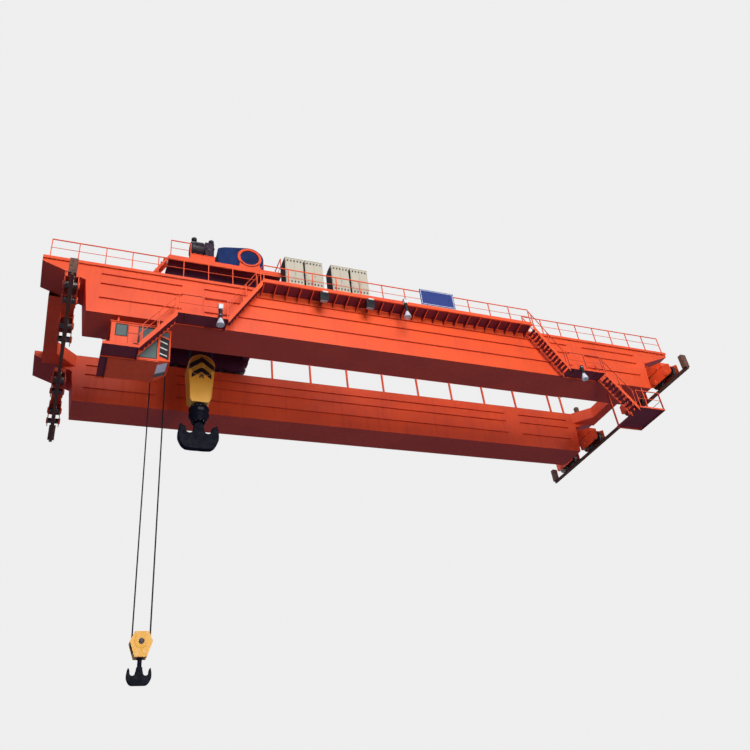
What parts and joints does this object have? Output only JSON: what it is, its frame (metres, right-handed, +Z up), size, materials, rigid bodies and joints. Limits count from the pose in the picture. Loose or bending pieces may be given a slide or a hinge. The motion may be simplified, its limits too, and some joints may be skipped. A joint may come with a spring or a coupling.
{
  "type": "double girder overhead crane",
  "caption": "Double girder overhead travelling crane with box girders, walkways, a hung driver's cab, an open winch trolley, a main block with a double hook and an auxiliary hook.",
  "frame": {"origin": "centre of the left runway rail's foot, midway between the two girders", "axes": "+X along the span from the left runway rail to the right one, +Y along the runway from the cab's girder to the far one, +Z up"},
  "size_m": [37.5, 15.04, 22.7103],
  "materials": {
    "painted_orange": "satin",
    "rail_steel": "worn",
    "wheel_steel": "worn",
    "cab_pane": "clear",
    "cabinet_cream": "satin",
    "board_blue": "satin",
    "lamp_metal": "satin",
    "machine_grey": "satin",
    "cover_blue": "woven",
    "rope_steel": "greased",
    "block_yellow": "satin",
    "forged_steel": "satin"
  },
  "bodies": {
    "runway": {"runway_rail_right": "rail_steel", "runway_rail_left": "rail_steel"},
    "bridge": {"near_girder": "painted_orange", "far_girder": "painted_orange", "trolley_rail_near": "rail_steel", "trolley_rail_far": "rail_steel", "end_beam_right": "painted_orange", "end_beam_left": "painted_orange", "walkway_near": "painted_orange", "walkway_far": "painted_orange", "walkway_railing_near": "painted_orange", "walkway_railing_far": "painted_orange", "end_railings_near": "painted_orange", "end_railings_far": "painted_orange", "upper_stair_right": "painted_orange", "upper_stair_left": "painted_orange", "lower_stair_right": "painted_orange", "lower_stair_left": "painted_orange", "lower_platform_right": "painted_orange", "lower_platform_left": "painted_orange", "right_landing": "painted_orange", "cab_platform": "painted_orange", "cab_walls": "painted_orange", "cab_floor": "painted_orange", "cab_roof": "painted_orange", "cab_glass": "cab_pane", "electric_cabinets": "cabinet_cream", "notice_board": "board_blue", "walkway_lamps": "lamp_metal", "balance_beams_right": "painted_orange", "bogies_right": "painted_orange", "travel_wheels_right": "wheel_steel", "balance_beams_left": "painted_orange", "bogies_left": "painted_orange", "travel_wheels_left": "wheel_steel"},
    "trolley": {"trolley_frame": "machine_grey", "trolley_wheels": "wheel_steel", "trolley_deck": "painted_orange", "trolley_railing": "painted_orange", "trolley_stair": "painted_orange", "drum_pedestals": "painted_orange", "main_drum": "machine_grey", "drum_cover": "cover_blue", "cover_ring": "painted_orange", "hoist_winch_near": "machine_grey", "hoist_winch_far": "machine_grey", "main_upper_sheaves": "machine_grey", "aux_upper_sheaves": "machine_grey", "main_ropes": "rope_steel", "aux_ropes": "rope_steel"},
    "main_block": {"main_block_housing": "block_yellow", "main_block_sheaves": "machine_grey", "main_crosshead": "forged_steel"},
    "main_hook": {"main_hook": "forged_steel"},
    "aux_block": {"aux_block_housing": "block_yellow", "aux_block_sheaves": "machine_grey", "aux_hook": "forged_steel"}
  },
  "joints": [
    {"name": "bridge_travel", "type": "slide", "parent": "runway", "child": "bridge", "axis": [0, 1, 0], "range_m": [-0.7, 0.7]},
    {"name": "trolley_travel", "type": "slide", "parent": "bridge", "child": "trolley", "axis": [1, 0, 0], "range_m": [-3.8, 22.8]},
    {"name": "main_hoist", "type": "slide", "parent": "trolley", "child": "main_block", "axis": [0, 0, 1], "range_m": [-19, 0.8], "deforming": ["main_ropes"]},
    {"name": "hook_swivel", "type": "hinge", "parent": "main_block", "child": "main_hook", "pos_m": [7.12, 0, -2.53], "axis": [0, 0, 1], "continuous": true},
    {"name": "aux_hoist", "type": "slide", "parent": "trolley", "child": "aux_block", "axis": [0, 0, 1], "range_m": [-8, 11.5], "deforming": ["aux_ropes"]}
  ]
}
